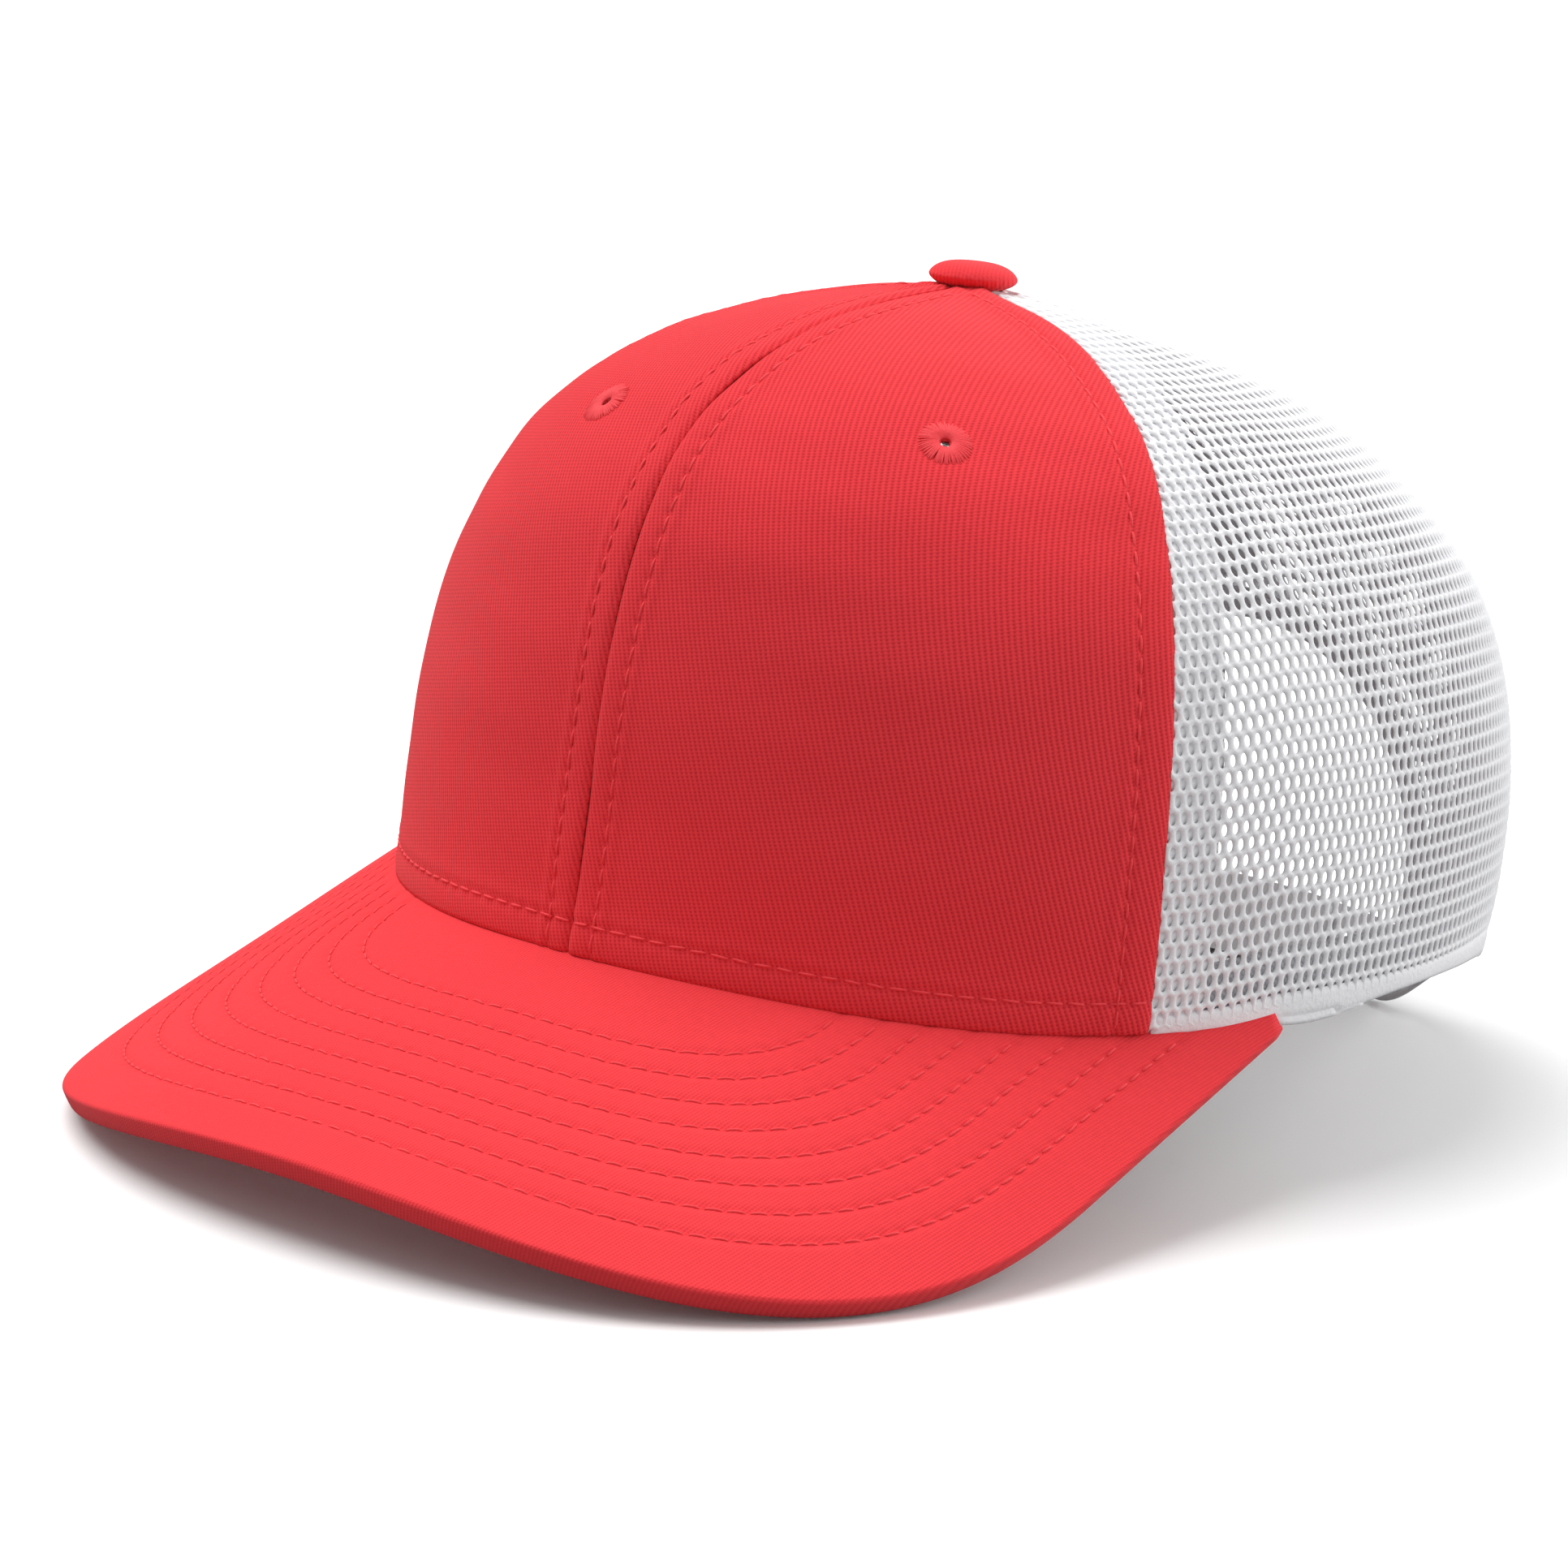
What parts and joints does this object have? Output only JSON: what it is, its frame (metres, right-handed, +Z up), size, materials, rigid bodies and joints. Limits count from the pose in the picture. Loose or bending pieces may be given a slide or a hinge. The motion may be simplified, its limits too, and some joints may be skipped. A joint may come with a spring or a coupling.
{
  "type": "trucker mesh cap",
  "caption": "Structured trucker cap: red twill front and curved visor, white mesh sides and back, covered top button, arched rear opening with a snap closure.",
  "frame": {"origin": "on the resting plane, under the middle of the crown's lower edge, where the head goes in", "axes": "+Z up out of the top button, -Y toward the visor, +X toward the wearer's left"},
  "size_m": [0.1716, 0.2488, 0.1293],
  "materials": {
    "red_twill": "matte cotton twill",
    "red_thread": "satin embroidery thread",
    "white_mesh": "matte knitted mesh",
    "buckram": "stiff matte weave",
    "visor_board": "matte sheet",
    "sweatband": "matte padded twill",
    "white_tape": "matte woven tape",
    "strap_plastic": "satin moulded strap",
    "steel": "plain"
  },
  "bodies": {
    "crown": {"front_panel_left": "red_twill", "front_panel_right": "red_twill", "side_mesh_left": "white_mesh", "side_mesh_right": "white_mesh", "back_mesh_left": "white_mesh", "back_mesh_right": "white_mesh", "buckram_left": "buckram", "buckram_right": "buckram", "visor_top_cover": "red_twill", "visor_board": "visor_board", "visor_under_cover": "red_twill", "sweatband": "sweatband", "hem_tape_left": "white_tape", "hem_tape_right": "white_tape", "tape_front_centre": "white_tape", "tape_front_left": "white_tape", "tape_front_right": "white_tape", "tape_side_left": "white_tape", "tape_side_right": "white_tape", "tape_back_centre": "white_tape", "arch_binding": "white_tape", "button_cover": "red_twill", "button_core": "steel", "button_shank": "steel", "button_clinch": "steel", "eyelet_left": "red_thread", "eyelet_right": "red_thread", "hole_tab": "strap_plastic", "stud_tab": "strap_plastic"},
    "hole_strap": {"hole_strap": "strap_plastic"},
    "stud_strap": {"stud_strap": "strap_plastic"}
  },
  "joints": [
    {"name": "hole_strap_lift", "type": "hinge", "parent": "crown", "child": "hole_strap", "pos_m": [0.03574, 0.08338, 0.007], "axis": [0, 0, -1], "range_deg": [0, 35]},
    {"name": "stud_strap_flex", "type": "hinge", "parent": "crown", "child": "stud_strap", "pos_m": [-0.03249, 0.07579, 0.007], "axis": [0, 0, -1], "range_deg": [0, 25]}
  ]
}
